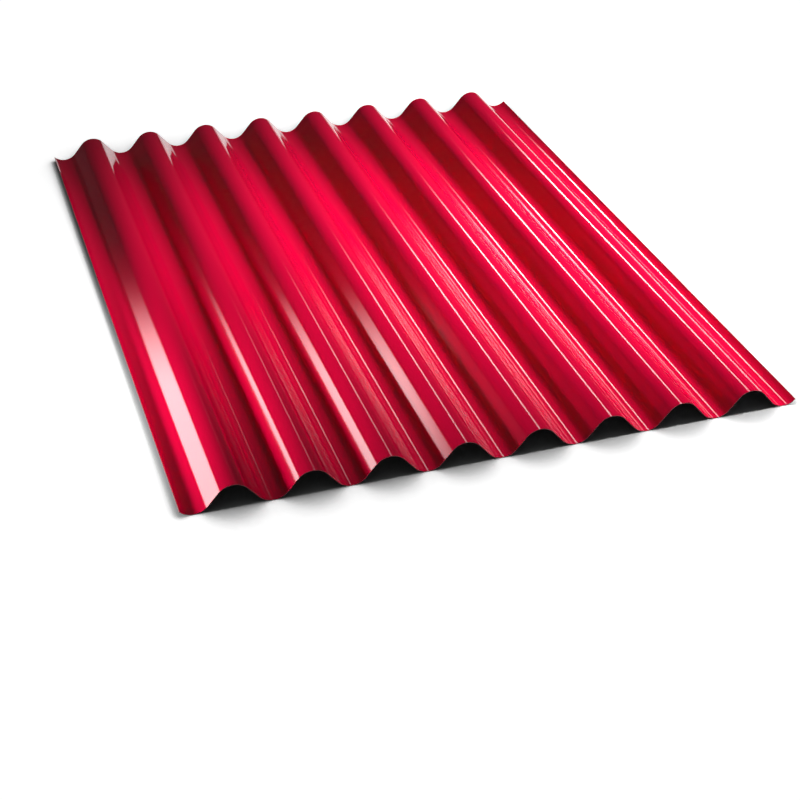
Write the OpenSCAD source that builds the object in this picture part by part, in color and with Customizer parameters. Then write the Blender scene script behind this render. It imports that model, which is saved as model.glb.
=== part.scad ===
// Corrugated roofing and cladding sheet: one roll-formed, colour-coated steel sheet.
// The wave is made of round bends joined by straight flanks that are tangent to both bends.
// X runs across the waves, Y along the ridges and Z up. The sheet lies on its troughs at Z = 0,
// with the origin on the floor under its middle. All sizes are in millimetres.

/* [Wave] */
// Distance from one crest to the next
pitch = 67.7; // [58:0.1:80]
// Height of the wave, from a trough to a crest on the same side of the sheet
depth = 22.2; // [17:0.1:27]
// Slope of the straight flanks between the bends, in degrees
flank_slope = 49.7; // [38:0.1:62]
// Number of whole waves from the first trough to the last
waves = 8; // [3:1:14]

/* [Sheet] */
// Length of the sheet along its ridges
sheet_length = 740; // [200:1:3000]
// Thickness of the coated sheet
gauge = 0.6; // [0.4:0.05:1.2]
// Width of the lip beyond each outermost trough, measured along the sheet
side_lip = 13; // [4:0.1:22]

/* [Finish] */
// Colour of the weather side
coat_colour = "crimson"; // [crimson, firebrick, royalblue, silver]

/* [Hidden] */

// Flat steps on each side of a bend's middle, so that a corner of the outline lies on every crest line
half_bend_steps = 10;

// Radius of every bend to the middle of the thickness: the bend that the flanks leave at their slope
bend_radius = (pitch / 4 * sin(flank_slope) - depth / 2 * cos(flank_slope)) / (1 - cos(flank_slope));
half_bend_length = bend_radius * flank_slope * PI / 180;

// The lip bends up from the outermost trough, and any width left over runs on straight, as a flank does
lip_slope = min(flank_slope, side_lip / bend_radius * 180 / PI);
lip_straight = max(0, side_lip - half_bend_length);

// Centres of the bends, and the place of the first trough
trough_centre_z = gauge / 2 + bend_radius;
crest_centre_z = gauge / 2 + depth - bend_radius;
first_trough_x = -waves * pitch / 2;

// Corners of a trough's bend on one face, from its left tilt over its lowest line to its right tilt.
// The face is 1 for the upper face of the sheet and -1 for the lower one.
function trough_bend(x, left, right, face) =
    let (r = bend_radius - face * gauge / 2)
    [for (i = [-half_bend_steps:half_bend_steps])
        let (tilt = i / half_bend_steps * (i < 0 ? left : right))
        [x + r * sin(tilt), trough_centre_z - r * cos(tilt)]];

// Corners of a crest's bend on one face
function crest_bend(x, face) =
    let (r = bend_radius + face * gauge / 2)
    [for (i = [-half_bend_steps:half_bend_steps])
        let (tilt = i / half_bend_steps * flank_slope)
        [x + r * sin(tilt), crest_centre_z + r * cos(tilt)]];

// End of a lip that runs on past its bend. The hand is -1 at the left edge and 1 at the right edge.
function lip_end(hand, face) =
    let (r = bend_radius - face * gauge / 2)
    [hand * (r * sin(lip_slope) + lip_straight * cos(lip_slope) - first_trough_x),
        trough_centre_z - r * cos(lip_slope) + lip_straight * sin(lip_slope)];

// One face of the sheet, from the left edge to the right edge. The flanks are the lines between the bends.
function wave_face(face) = [
    if (lip_straight > 0) lip_end(-1, face),
    for (k = [0:waves])
        let (x = first_trough_x + k * pitch)
        let (left = k == 0 ? lip_slope : flank_slope)
        let (right = k == waves ? lip_slope : flank_slope)
        each concat(trough_bend(x, left, right, face), k < waves ? crest_bend(x + pitch / 2, face) : []),
    if (lip_straight > 0) lip_end(1, face)
];

function reversed(points) = [for (i = [len(points) - 1:-1:0]) points[i]];

module wave_section() {
    polygon(concat(wave_face(1), reversed(wave_face(-1))));
}

module corrugated_sheet() {
    color(coat_colour)
        rotate([90, 0, 0])
            linear_extrude(height = sheet_length, center = true)
                wave_section();
}

corrugated_sheet();
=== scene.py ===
"""Dress the corrugated metal sheet: its smooth rolled skin, its coatings, its studio and its camera."""

import logging
import math
from dataclasses import dataclass, field
from enum import Enum
from typing import Any

import bpy
from mathutils import Matrix, Vector


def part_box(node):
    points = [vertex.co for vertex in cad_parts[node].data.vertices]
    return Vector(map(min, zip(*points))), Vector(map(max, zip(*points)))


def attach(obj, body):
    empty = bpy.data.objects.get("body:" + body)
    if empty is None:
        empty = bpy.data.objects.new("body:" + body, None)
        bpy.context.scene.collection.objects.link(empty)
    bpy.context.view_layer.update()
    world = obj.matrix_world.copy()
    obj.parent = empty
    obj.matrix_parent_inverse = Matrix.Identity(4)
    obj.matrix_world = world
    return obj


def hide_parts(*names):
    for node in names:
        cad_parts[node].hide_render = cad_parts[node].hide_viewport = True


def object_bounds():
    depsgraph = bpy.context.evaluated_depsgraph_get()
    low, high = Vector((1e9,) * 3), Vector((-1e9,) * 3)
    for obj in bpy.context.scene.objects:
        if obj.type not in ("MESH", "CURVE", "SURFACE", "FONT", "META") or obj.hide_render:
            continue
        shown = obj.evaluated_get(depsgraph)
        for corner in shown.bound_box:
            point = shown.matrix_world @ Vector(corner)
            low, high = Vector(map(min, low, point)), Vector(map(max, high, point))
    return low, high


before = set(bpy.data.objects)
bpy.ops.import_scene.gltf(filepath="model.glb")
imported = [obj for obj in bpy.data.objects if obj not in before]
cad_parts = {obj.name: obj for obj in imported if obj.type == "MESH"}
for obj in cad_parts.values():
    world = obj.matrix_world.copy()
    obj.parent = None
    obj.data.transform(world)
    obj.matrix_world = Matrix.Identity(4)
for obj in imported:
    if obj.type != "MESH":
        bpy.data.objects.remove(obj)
CAD_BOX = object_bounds()
LOG = logging.getLogger("corrugated_sheet")
MM = 0.001
PAINT_IOR = 1.5
WHITE = (1.0, 1.0, 1.0, 1.0)

Colour = tuple[float, float, float, float]
NodeTree = bpy.types.NodeTree
Node = bpy.types.Node


def linear(hex_colour: str) -> Colour:
    """Turn an sRGB hex colour into Blender's linear colour, by the curve of the sRGB standard.

    Args:
        hex_colour: Six hex digits after a number sign.

    Returns:
        Linear red, green and blue, and an alpha of one.
    """
    channels = [int(hex_colour[i:i + 2], 16) / 255 for i in (1, 3, 5)]
    red, green, blue = (c / 12.92 if c <= 0.04045 else ((c + 0.055) / 1.055) ** 2.4 for c in channels)
    return red, green, blue, 1.0


def add_node(tree: NodeTree, kind: str, settings: dict[str, Any] | None = None,
             links: dict[str | int, Any] | None = None) -> Node:
    """Add one node with its settings and links.

    Args:
        tree: The node tree that gets the node.
        kind: Blender's own name for the kind of node.
        settings: Values for the node's properties.
        links: For each input, by name or number, the socket that feeds it or its plain value.

    Returns:
        The new node.
    """
    node = tree.nodes.new(kind)
    for name, value in (settings or {}).items():
        setattr(node, name, value)
    for key, source in (links or {}).items():
        if isinstance(source, bpy.types.NodeSocket):
            tree.links.new(source, node.inputs[key])
        else:
            node.inputs[key].default_value = source
    return node


def empty_material(name: str) -> tuple[bpy.types.Material, NodeTree]:
    """Make a material with an empty node tree.

    Args:
        name: The material's name.

    Returns:
        The material and its tree.
    """
    material = bpy.data.materials.new(name)
    material.use_nodes = True
    material.node_tree.nodes.clear()
    return material, material.node_tree


@dataclass(frozen=True)
class CoilCoat:
    """Gloss polyester paint, baked on the flat coil before it is rolled into waves.

    It gives the eye one even crimson with a hard gloss, a little cloudier in places, with faint lines along
    the coil and a few specks of dust.
    """

    name: str = "polyester_coil_coat_crimson"
    colour: str = "#E6003E"
    deep_colour: str = "#DC003A"
    roughness: tuple[float, float] = (0.06, 0.09)
    # Values of the two noises together that give the lowest and the highest roughness
    gloss_range: tuple[float, float] = (0.7, 1.3)
    # The coater's own lines lie a millimetre or two apart, too fine to show, so they are drawn coarser
    line_spacing: float = 20 * MM
    line_length: float = 900 * MM
    line_detail: float = 3.0
    line_fineness: float = 0.6
    cloud_width: float = 90 * MM
    cloud_detail: float = 3.0
    # Dust is drawn at about twice its real size, so that it shows
    speck_size: float = 0.55 * MM
    speck_spacing: float = 60 * MM
    speck_colour: str = "#3A0A10"

    def material(self) -> bpy.types.Material:
        """Build the coat's material.

        Returns:
            The finished material.
        """
        made, tree = empty_material(self.name)
        place = add_node(tree, "ShaderNodeTexCoord").outputs["Object"]
        unrolled = add_node(tree, "ShaderNodeUVMap", {"uv_map": WaveSheet.UNROLLED}).outputs["UV"]
        along_coil = add_node(tree, "ShaderNodeMapping", links={
            "Vector": unrolled, "Scale": (1 / self.line_spacing, 1 / self.line_length, 1)}).outputs["Vector"]
        lines = add_node(tree, "ShaderNodeTexNoise", links={
            "Vector": along_coil, "Scale": 1.0, "Detail": self.line_detail,
            "Roughness": self.line_fineness}).outputs["Fac"]
        clouds = add_node(tree, "ShaderNodeTexNoise", links={
            "Vector": place, "Scale": 1 / self.cloud_width, "Detail": self.cloud_detail}).outputs["Fac"]
        paint = add_node(tree, "ShaderNodeMix", {"data_type": "RGBA"}, {
            "Factor": lines, "A": linear(self.deep_colour), "B": linear(self.colour)}).outputs["Result"]
        specks = add_node(tree, "ShaderNodeTexVoronoi", {"feature": "F1"}, {
            "Vector": unrolled, "Scale": 1 / self.speck_spacing})
        on_speck = add_node(tree, "ShaderNodeMath", {"operation": "LESS_THAN"}, {
            0: specks.outputs["Distance"], 1: self.speck_size / self.speck_spacing}).outputs[0]
        dotted = add_node(tree, "ShaderNodeMix", {"data_type": "RGBA"}, {
            "Factor": on_speck, "A": paint, "B": linear(self.speck_colour)}).outputs["Result"]
        gloss = add_node(tree, "ShaderNodeMath", {"operation": "ADD"}, {0: clouds, 1: lines}).outputs[0]
        dull = add_node(tree, "ShaderNodeMapRange", links={
            "Value": gloss, "From Min": self.gloss_range[0], "From Max": self.gloss_range[1],
            "To Min": self.roughness[0], "To Max": self.roughness[1]}).outputs["Result"]
        shader = add_node(tree, "ShaderNodeBsdfPrincipled", links={
            "Base Color": dotted, "Roughness": dull, "IOR": PAINT_IOR})
        add_node(tree, "ShaderNodeOutputMaterial", links={"Surface": shader.outputs["BSDF"]})
        return made


@dataclass(frozen=True)
class BackingCoat:
    """Thin epoxy wash on the reverse of the coil, drawn dark grey as painted shade under the arches.

    It gives the eye a plain, half-dull grey with a soft mottle where the film is thinner over the zinc.
    """

    name: str = "epoxy_backing_coat_grey"
    # Kept dark as painted shade, so the underside seen under the arches reads as shade
    colour: str = "#3E4142"
    thin_colour: str = "#4A4E50"
    roughness: tuple[float, float] = (0.38, 0.52)
    mottle_width: float = 25 * MM
    mottle_detail: float = 4.0
    # Values of the mottle that give the lowest and the highest roughness
    mottle_range: tuple[float, float] = (0.3, 0.7)
    # The real grit is a few tenths of a millimetre wide, too fine to show, so it is drawn coarser
    grit_width: float = 2 * MM
    grit_height: float = 0.006 * MM
    grit_detail: float = 1.0

    def material(self) -> bpy.types.Material:
        """Build the backing coat's material.

        Returns:
            The finished material.
        """
        made, tree = empty_material(self.name)
        unrolled = add_node(tree, "ShaderNodeUVMap", {"uv_map": WaveSheet.UNROLLED}).outputs["UV"]
        mottle = add_node(tree, "ShaderNodeTexNoise", links={
            "Vector": unrolled, "Scale": 1 / self.mottle_width, "Detail": self.mottle_detail}).outputs["Fac"]
        grit = add_node(tree, "ShaderNodeTexNoise", links={
            "Vector": unrolled, "Scale": 1 / self.grit_width, "Detail": self.grit_detail}).outputs["Fac"]
        film = add_node(tree, "ShaderNodeMix", {"data_type": "RGBA"}, {
            "Factor": mottle, "A": linear(self.thin_colour), "B": linear(self.colour)}).outputs["Result"]
        dull = add_node(tree, "ShaderNodeMapRange", links={
            "Value": mottle, "From Min": self.mottle_range[0], "From Max": self.mottle_range[1],
            "To Min": self.roughness[0], "To Max": self.roughness[1]}).outputs["Result"]
        bump = add_node(tree, "ShaderNodeBump", links={
            "Height": grit, "Distance": self.grit_height, "Strength": 1.0}).outputs["Normal"]
        shader = add_node(tree, "ShaderNodeBsdfPrincipled", links={
            "Base Color": film, "Roughness": dull, "IOR": PAINT_IOR, "Normal": bump})
        add_node(tree, "ShaderNodeOutputMaterial", links={"Surface": shader.outputs["BSDF"]})
        return made


@dataclass(frozen=True)
class SealedEdge:
    """Edge lacquer brushed over the sheared steel, so that the cut ends don't rust.

    It gives the eye a thin line of the coat's own crimson, deeper and duller than the face, and uneven in
    depth.
    """

    name: str = "brushed_edge_lacquer_crimson"
    colour: str = "#B4002E"
    thick_colour: str = "#8A0022"
    roughness: float = 0.38
    brush_width: float = 5 * MM
    brush_detail: float = 2.0

    def material(self) -> bpy.types.Material:
        """Build the cut edge's material.

        Returns:
            The finished material.
        """
        made, tree = empty_material(self.name)
        place = add_node(tree, "ShaderNodeTexCoord").outputs["Object"]
        depth = add_node(tree, "ShaderNodeTexNoise", links={
            "Vector": place, "Scale": 1 / self.brush_width, "Detail": self.brush_detail}).outputs["Fac"]
        lacquer = add_node(tree, "ShaderNodeMix", {"data_type": "RGBA"}, {
            "Factor": depth, "A": linear(self.colour), "B": linear(self.thick_colour)}).outputs["Result"]
        shader = add_node(tree, "ShaderNodeBsdfPrincipled", links={
            "Base Color": lacquer, "Roughness": self.roughness, "IOR": PAINT_IOR})
        add_node(tree, "ShaderNodeOutputMaterial", links={"Surface": shader.outputs["BSDF"]})
        return made


@dataclass
class WaveSheet:
    """The rolled sheet: a flat strip of coil, bent into round waves with straight flanks between bends."""

    UNROLLED = "Unrolled"
    SKIN = "skin"

    node: str = "corrugated_sheet"
    slot: str = "coated_sheet"
    pitch: float = 67.7 * MM
    flank_slope: float = math.radians(49.7)
    waves: int = 8
    gauge: float = 0.6 * MM
    side_lip: float = 13 * MM
    steps_across: int = 800
    steps_along: int = 24
    # An edge that turns more than this is a cut edge, and stays crisp
    crisp_turn: float = math.radians(60)
    # On the flat strip a face looks up or down by more than this share, or else it is a cut edge
    face_share: float = 0.5
    length: float = field(init=False)
    depth: float = field(init=False)

    def __post_init__(self) -> None:
        """Take the length and the wave's depth from the frame."""
        low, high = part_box(self.node)
        self.length = high.y - low.y
        self.depth = high.z - low.z - self.gauge

    @property
    def bend_radius(self) -> float:
        """Radius of every bend, to the middle of the thickness."""
        rise, run = self.depth / 2, self.pitch / 4
        sine, cosine = math.sin(self.flank_slope), math.cos(self.flank_slope)
        return (run * sine - rise * cosine) / (1 - cosine)

    @property
    def half_bend(self) -> float:
        """Length of the sheet from the middle of a bend to its flank."""
        return self.bend_radius * self.flank_slope

    @property
    def flank(self) -> float:
        """Length of the straight flank between two bends."""
        half_reach = self.pitch / 4 - self.bend_radius * math.sin(self.flank_slope)
        return 2 * half_reach / math.cos(self.flank_slope)

    @property
    def unrolled_pitch(self) -> float:
        """Length of coil that one wave takes up."""
        return 4 * self.half_bend + 2 * self.flank

    @property
    def unrolled_width(self) -> float:
        """Width of the flat coil that the sheet is rolled from."""
        return self.waves * self.unrolled_pitch + 2 * self.side_lip

    def sizes(self) -> dict[str, float | int]:
        """Give the named inputs of the rolling tree.

        Returns:
            Each input's name and value.
        """
        return {
            "Coil width": self.unrolled_width,
            "Sheet length": self.length,
            "Gauge": self.gauge,
            "Pitch": self.pitch,
            "Coil per wave": self.unrolled_pitch,
            "Bend radius": self.bend_radius,
            "Half bend": self.half_bend,
            "Flank": self.flank,
            "Flank slope": self.flank_slope,
            "Steps across": self.steps_across,
            "Steps along": self.steps_along,
        }

    def bend_rule(self) -> list[tuple[Any, ...]]:
        """Give the rule that rolls the flat coil into waves.

        Returns:
            One step of arithmetic a row: the result's name, the operation, and the names of earlier results
            or plain numbers.
        """
        return [
            # Nearest trough, and how far along the coil this point lies from it
            ("turns", "DIVIDE", "Along", "Coil per wave"),
            ("trough", "ROUND", "turns"),
            ("trough at", "MULTIPLY", "trough", "Coil per wave"),
            ("offset", "SUBTRACT", "Along", "trough at"),
            ("hand", "SIGN", "offset"),
            ("run", "ABSOLUTE", "offset"),
            # Share of that run in the trough's bend, on the flank and in the crest's bend
            ("trough run", "MINIMUM", "run", "Half bend"),
            ("past bend", "SUBTRACT", "run", "trough run"),
            ("flank run", "MINIMUM", "past bend", "Flank"),
            ("crest run", "SUBTRACT", "past bend", "flank run"),
            ("trough tilt", "DIVIDE", "trough run", "Bend radius"),
            ("crest turn", "DIVIDE", "crest run", "Bend radius"),
            ("crest tilt", "SUBTRACT", "Flank slope", "crest turn"),
            ("tilt", "SUBTRACT", "trough tilt", "crest turn"),
            # Sideways reach: bend, flank and bend
            ("trough sine", "SINE", "trough tilt"),
            ("slope sine", "SINE", "Flank slope"),
            ("crest sine", "SINE", "crest tilt"),
            ("sines", "ADD", "trough sine", "slope sine"),
            ("bends reach", "SUBTRACT", "sines", "crest sine"),
            ("slope cosine", "COSINE", "Flank slope"),
            ("flank reach", "MULTIPLY", "flank run", "slope cosine"),
            ("reach", "MULTIPLY_ADD", "bends reach", "Bend radius", "flank reach"),
            ("trough place", "MULTIPLY", "trough", "Pitch"),
            ("middle x", "MULTIPLY_ADD", "hand", "reach", "trough place"),
            # Rise: bend, flank and bend
            ("trough cosine", "COSINE", "trough tilt"),
            ("crest cosine", "COSINE", "crest tilt"),
            ("trough rise", "SUBTRACT", 1.0, "trough cosine"),
            ("crest rise", "SUBTRACT", "crest cosine", "slope cosine"),
            ("bends rise", "ADD", "trough rise", "crest rise"),
            ("flank rise", "MULTIPLY", "flank run", "slope sine"),
            ("rise", "MULTIPLY_ADD", "bends rise", "Bend radius", "flank rise"),
            ("middle z", "MULTIPLY_ADD", "Gauge", 0.5, "rise"),
            # Both faces lie half the gauge from the middle, square to the sheet
            ("signed tilt", "MULTIPLY", "hand", "tilt"),
            ("lean", "SINE", "signed tilt"),
            ("stand", "COSINE", "signed tilt"),
            ("back", "MULTIPLY", "Across", -1.0),
            ("x", "MULTIPLY_ADD", "back", "lean", "middle x"),
            ("z", "MULTIPLY_ADD", "Across", "stand", "middle z"),
        ]

    def rolling_tree(self, coat: bpy.types.Material, backing: bpy.types.Material,
                     edge: bpy.types.Material) -> tuple[NodeTree, dict[str, str]]:
        """Build the Geometry Nodes tree that rolls the sheet.

        Args:
            coat: Material of the upper face.
            backing: Material of the lower face.
            edge: Material of the cut edges.

        Returns:
            The tree, and the identifier of each named input.
        """
        tree = bpy.data.node_groups.new("roll_wave_sheet", "GeometryNodeTree")
        tree.is_modifier = True
        tree.interface.new_socket("Geometry", in_out="INPUT", socket_type="NodeSocketGeometry")
        tree.interface.new_socket("Geometry", in_out="OUTPUT", socket_type="NodeSocketGeometry")
        names = {}
        for name, value in self.sizes().items():
            kind = "NodeSocketInt" if isinstance(value, int) else "NodeSocketFloat"
            names[name] = tree.interface.new_socket(name, in_out="INPUT", socket_type=kind).identifier
        given = add_node(tree, "NodeGroupInput").outputs

        # The flat strip of coil keeps its own flat place as its UV map, and which way each face looks
        flat = add_node(tree, "ShaderNodeCombineXYZ", links={
            "X": given["Coil width"], "Y": given["Sheet length"], "Z": given["Gauge"]})
        strip = add_node(tree, "GeometryNodeMeshCube", links={
            "Size": flat.outputs["Vector"], "Vertices X": given["Steps across"],
            "Vertices Y": given["Steps along"], "Vertices Z": 2})
        place = add_node(tree, "GeometryNodeInputPosition").outputs["Position"]
        parts = add_node(tree, "ShaderNodeSeparateXYZ", links={0: place}).outputs
        facing = add_node(tree, "GeometryNodeInputNormal").outputs["Normal"]
        up = add_node(tree, "ShaderNodeSeparateXYZ", links={0: facing}).outputs["Z"]
        skinned = add_node(
            tree, "GeometryNodeStoreNamedAttribute", {"data_type": "FLOAT", "domain": "FACE"},
            {"Geometry": strip.outputs["Mesh"], "Name": self.SKIN, "Value": up})
        mapped = add_node(
            tree, "GeometryNodeStoreNamedAttribute", {"data_type": "FLOAT2", "domain": "CORNER"},
            {"Geometry": skinned.outputs["Geometry"], "Name": self.UNROLLED, "Value": place})

        # Every point moves to its place on the wave
        results = {name: given[name] for name in names} | {"Along": parts["X"], "Across": parts["Z"]}
        for result, operation, *terms in self.bend_rule():
            feeds = {i: results[term] if isinstance(term, str) else term for i, term in enumerate(terms)}
            results[result] = add_node(tree, "ShaderNodeMath", {"operation": operation}, feeds).outputs[0]
        bent = add_node(tree, "ShaderNodeCombineXYZ", links={
            "X": results["x"], "Y": parts["Y"], "Z": results["z"]})
        rolled = add_node(tree, "GeometryNodeSetPosition", links={
            "Geometry": mapped.outputs["Geometry"], "Position": bent.outputs["Vector"]})

        # Bends are smooth, and the cut edges stay crisp
        turn = add_node(tree, "GeometryNodeInputMeshEdgeAngle").outputs["Unsigned Angle"]
        corner = add_node(
            tree, "FunctionNodeCompare", {"data_type": "FLOAT", "operation": "GREATER_THAN"},
            {"A": turn, "B": self.crisp_turn})
        smooth = add_node(tree, "GeometryNodeSetShadeSmooth", {"domain": "FACE"}, {
            "Geometry": rolled.outputs["Geometry"], "Shade Smooth": True})
        crisp = add_node(tree, "GeometryNodeSetShadeSmooth", {"domain": "EDGE"}, {
            "Geometry": smooth.outputs["Geometry"], "Selection": corner.outputs["Result"],
            "Shade Smooth": False})
        whole = add_node(tree, "GeometryNodeRealizeInstances", links={"Geometry": crisp.outputs["Geometry"]})

        # The coat goes on everything, the lacquer on all but the upper face, the backing on the lower face
        skin = add_node(tree, "GeometryNodeInputNamedAttribute", {"data_type": "FLOAT"}, {"Name": self.SKIN})
        dressed = add_node(tree, "GeometryNodeSetMaterial", links={
            "Geometry": whole.outputs["Geometry"], "Material": coat})
        for limit, material in ((self.face_share, edge), (-self.face_share, backing)):
            chosen = add_node(
                tree, "FunctionNodeCompare", {"data_type": "FLOAT", "operation": "LESS_THAN"},
                {"A": skin.outputs["Attribute"], "B": limit})
            dressed = add_node(tree, "GeometryNodeSetMaterial", links={
                "Geometry": dressed.outputs["Geometry"], "Selection": chosen.outputs["Result"],
                "Material": material})
        add_node(tree, "NodeGroupOutput", links={"Geometry": dressed.outputs["Geometry"]})
        return tree, names

    def build(self) -> bpy.types.Object:
        """Roll the sheet, make it a plain mesh and put it in the frame.

        Returns:
            The finished piece.
        """
        tree, names = self.rolling_tree(
            CoilCoat().material(), BackingCoat().material(), SealedEdge().material())
        maker = bpy.data.objects.new("rolling_mill", bpy.data.meshes.new("rolling_mill"))
        bpy.context.scene.collection.objects.link(maker)
        roll = maker.modifiers.new("roll", "NODES")
        roll.node_group = tree
        for name, value in self.sizes().items():
            roll[names[name]] = value
        graph = bpy.context.evaluated_depsgraph_get()
        mesh = bpy.data.meshes.new_from_object(maker.evaluated_get(graph), depsgraph=graph)
        bpy.data.objects.remove(maker)
        mesh.name = "rolled_sheet"
        sheet = bpy.data.objects.new("rolled_sheet", mesh)
        bpy.context.scene.collection.objects.link(sheet)
        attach(sheet, "root")
        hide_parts(self.node)
        return sheet


@dataclass(frozen=True)
class SoftBox:
    """One soft lamp: where it hangs, what it faces, and how its brightness is spread.

    The brightness is the one that shows along the lamp's axis, where one is as bright as white paper. A
    narrow spread works as a grid on the lamp does. The fade is the share over which the lamp dims to nothing,
    at the start and the end of its length and at the start and the end of its height.
    """

    place: tuple[float, float, float]
    aim: tuple[float, float, float]
    along: tuple[float, float, float]
    length: float
    height: float
    brightness: float
    spread: float = math.pi
    fade: tuple[float, float, float, float] = (0.0, 0.0, 0.0, 0.0)

    def turn(self) -> Matrix:
        """Work out the lamp's turn: its length runs along its own axis, square to where it faces.

        Returns:
            The rotation.
        """
        back = (Vector(self.place) - Vector(self.aim)).normalized()
        side = Vector(self.along)
        side = (side - side.dot(back) * back).normalized()
        return Matrix((side, back.cross(side), back)).transposed()

    def gain(self) -> float:
        """Tell how much brighter a narrow spread makes the lamp look along its axis.

        Returns:
            The factor, one for a lamp without a grid.
        """
        half = self.spread / 2
        return math.tan(half) / (math.tan(half) - half) if self.spread < math.pi else 1.0

    def hang(self, name: str) -> bpy.types.Object:
        """Hang the lamp in the scene.

        Args:
            name: The lamp's name.

        Returns:
            The lamp.
        """
        data = bpy.data.lights.new(name, "AREA")
        data.shape = "RECTANGLE"
        data.size, data.size_y = self.length, self.height
        data.energy = self.brightness * math.pi * self.length * self.height / self.gain()
        data.spread = self.spread
        if any(self.fade):
            self.dim_ends(data)
        lamp = bpy.data.objects.new(name, data)
        bpy.context.scene.collection.objects.link(lamp)
        lamp.matrix_world = Matrix.Translation(self.place) @ self.turn().to_4x4()
        lamp.visible_camera = False
        return lamp

    def dim_ends(self, data: bpy.types.AreaLight) -> None:
        """Dim the lamp smoothly towards its ends.

        Args:
            data: The lamp's light.
        """
        data.use_nodes = True
        tree = data.node_tree
        tree.nodes.clear()
        spot = add_node(tree, "ShaderNodeNewGeometry").outputs["Parametric"]
        parts = add_node(tree, "ShaderNodeSeparateXYZ", links={0: spot}).outputs
        strength = 1.0
        for axis, edge, fade in zip("XXYY", (0.0, 1.0, 0.0, 1.0), self.fade):
            if not fade:
                continue
            level = add_node(tree, "ShaderNodeMapRange", {"interpolation_type": "SMOOTHSTEP"}, {
                "Value": parts[axis], "From Min": edge, "From Max": abs(edge - fade),
                "To Min": 0.0, "To Max": 1.0})
            strength = add_node(tree, "ShaderNodeMath", {"operation": "MULTIPLY"}, {
                0: level.outputs["Result"], 1: strength}).outputs[0]
        glow = add_node(tree, "ShaderNodeEmission", links={"Strength": strength})
        add_node(tree, "ShaderNodeOutputLight", links={"Surface": glow.outputs["Emission"]})


class Lamp(Enum):
    """The studio's lamps."""

    # High on the right and far off: lights the crests and right flanks, and leaves the left flanks dark
    KEY = SoftBox(
        place=(3.70, -0.13, 3.76), aim=(0.40, -0.13, 0.0), along=(-0.53, 0.71, 0.47),
        length=1.0, height=0.55, brightness=1420.0, spread=math.radians(8))
    # Slim and slanting, behind the sheet: shows as the white lines on the right-hand waves
    STRIP = SoftBox(
        place=(0.577, 1.392, 1.143), aim=(0.457, -0.252, 0.0), along=(-0.42, 0.56, -0.71),
        length=0.86, height=0.17, brightness=36.0, spread=math.radians(32), fade=(0.02, 0.27, 0.1, 0.1))
    # Low on the left and close: lights the near left of the sheet
    LEFT_KEY = SoftBox(
        place=(-1.38, -0.27, 0.30), aim=(-0.75, -0.25, 0.0), along=(0.0, 1.0, 0.0),
        length=0.3, height=0.3, brightness=290.0, spread=math.radians(30))
    # Large and low, behind on the left: shows as the pale bands on the left-hand waves
    LEFT_PANEL = SoftBox(
        place=(-2.43, 3.04, 0.43), aim=(-0.11, -0.20, 0.43), along=(-0.81, -0.58, 0.0),
        length=0.9, height=0.86, brightness=6.0, fade=(0.42, 0.0, 0.0, 0.18))


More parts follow.
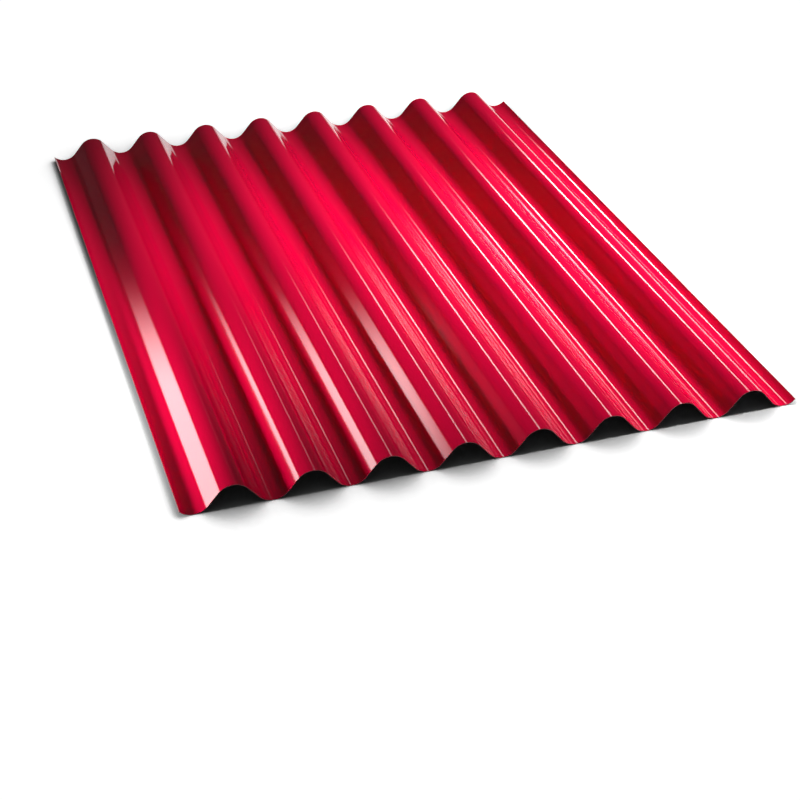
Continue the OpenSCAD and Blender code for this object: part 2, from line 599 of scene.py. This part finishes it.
@dataclass
class Studio:
    """Pale floor, soft lamps and a dim room round the sheet."""

    floor_half: float = 40.0
    floor_colour: str = "#BEBEBE"
    # Painted shade in the floor's glow close to the sheet: how far it reaches, and how fast it deepens
    shade_reach: float = 0.12
    shade_depth: float = 6.0
    shade_samples: int = 8
    room_fill: float = 0.04

    def build_floor(self) -> bpy.types.Object:
        """Lay the floor at the frame's base.

        Returns:
            The floor.
        """
        half, base = self.floor_half, CAD_BOX[0].z
        corners = [(-half, -half, base), (half, -half, base), (half, half, base), (-half, half, base)]
        mesh = bpy.data.meshes.new("floor")
        mesh.from_pydata(corners, [], [(0, 1, 2, 3)])
        floor = bpy.data.objects.new("floor", mesh)
        bpy.context.scene.collection.objects.link(floor)
        mesh.materials.append(self.floor_material())
        return floor

    def floor_material(self) -> bpy.types.Material:
        """Build a pale floor that reads as white to the eye and in reflections, with a painted shade in its
        glow close to the sheet and real shadows in its matt part.

        Returns:
            The floor's material.
        """
        made, tree = empty_material("pale_studio_floor")
        path = add_node(tree, "ShaderNodeLightPath").outputs
        shown = path["Is Camera Ray"]
        for ray in ("Is Transmission Ray", "Is Glossy Ray"):
            shown = add_node(tree, "ShaderNodeMath", {"operation": "MAXIMUM"}, {
                0: path[ray], 1: shown}).outputs[0]
        # The glow dims where the sheet closes off the sky nearby: painted shade round and under the sheet
        open_sky = add_node(tree, "ShaderNodeAmbientOcclusion", {"samples": self.shade_samples}, {
            "Distance": self.shade_reach}).outputs["AO"]
        painted_shade = add_node(tree, "ShaderNodeMath", {"operation": "POWER"}, {
            0: open_sky, 1: self.shade_depth}).outputs[0]
        glow = add_node(tree, "ShaderNodeMath", {"operation": "MULTIPLY"}, {0: shown, 1: painted_shade}).outputs[0]
        matt = add_node(tree, "ShaderNodeBsdfDiffuse", links={"Color": linear(self.floor_colour)})
        light = add_node(tree, "ShaderNodeEmission", links={"Color": WHITE, "Strength": glow})
        both = add_node(tree, "ShaderNodeAddShader", links={
            0: matt.outputs["BSDF"], 1: light.outputs["Emission"]})
        add_node(tree, "ShaderNodeOutputMaterial", links={"Surface": both.outputs["Shader"]})
        return made

    def build_room(self) -> None:
        """Give the room a dim even fill."""
        world = bpy.data.worlds.new("studio_room")
        bpy.context.scene.world = world
        world.use_nodes = True
        tree = world.node_tree
        tree.nodes.clear()
        back = add_node(tree, "ShaderNodeBackground", links={"Color": WHITE, "Strength": self.room_fill})
        add_node(tree, "ShaderNodeOutputWorld", links={"Surface": back.outputs["Background"]})

    def build(self) -> None:
        """Build the whole studio."""
        self.build_floor()
        self.build_room()
        for lamp in Lamp:
            lamp.value.hang(lamp.name.lower())


@dataclass
class PhotoCamera:
    """The camera at the photograph's viewing angle."""

    place: tuple[float, float, float] = (-0.4437, -1.4584, 0.8017)
    turn_right: float = math.radians(17.84)
    look_down: float = math.radians(32.37)
    focal_pixels: float = 1646.7
    frame_pixels: int = 800
    # Blender's own measure of the sensor, in millimetres
    sensor: float = 36.0

    def build(self) -> bpy.types.Object:
        """Set up the camera.

        Returns:
            The camera.
        """
        data = bpy.data.cameras.new("photo_camera")
        data.sensor_width = self.sensor
        data.lens = self.sensor * self.focal_pixels / self.frame_pixels
        camera = bpy.data.objects.new("photo_camera", data)
        bpy.context.scene.collection.objects.link(camera)
        camera.location = self.place
        camera.rotation_euler = (math.pi / 2 - self.look_down, 0, -self.turn_right)
        bpy.context.scene.camera = camera
        return camera


def main() -> None:
    """Build the camera, the sheet and the studio in order, and report each."""
    logging.basicConfig(level=logging.INFO, format="%(name)s: %(message)s")
    bpy.context.scene.view_settings.view_transform = "Standard"
    camera = PhotoCamera().build()
    LOG.info("%s: %.1f mm lens", camera.name, camera.data.lens)
    sheet = WaveSheet().build()
    LOG.info("%s: %d faces", sheet.name, len(sheet.data.polygons))
    Studio().build()
    LOG.info("studio: floor, room and %d lamps", len(Lamp))


if __name__ == "__main__":
    main()
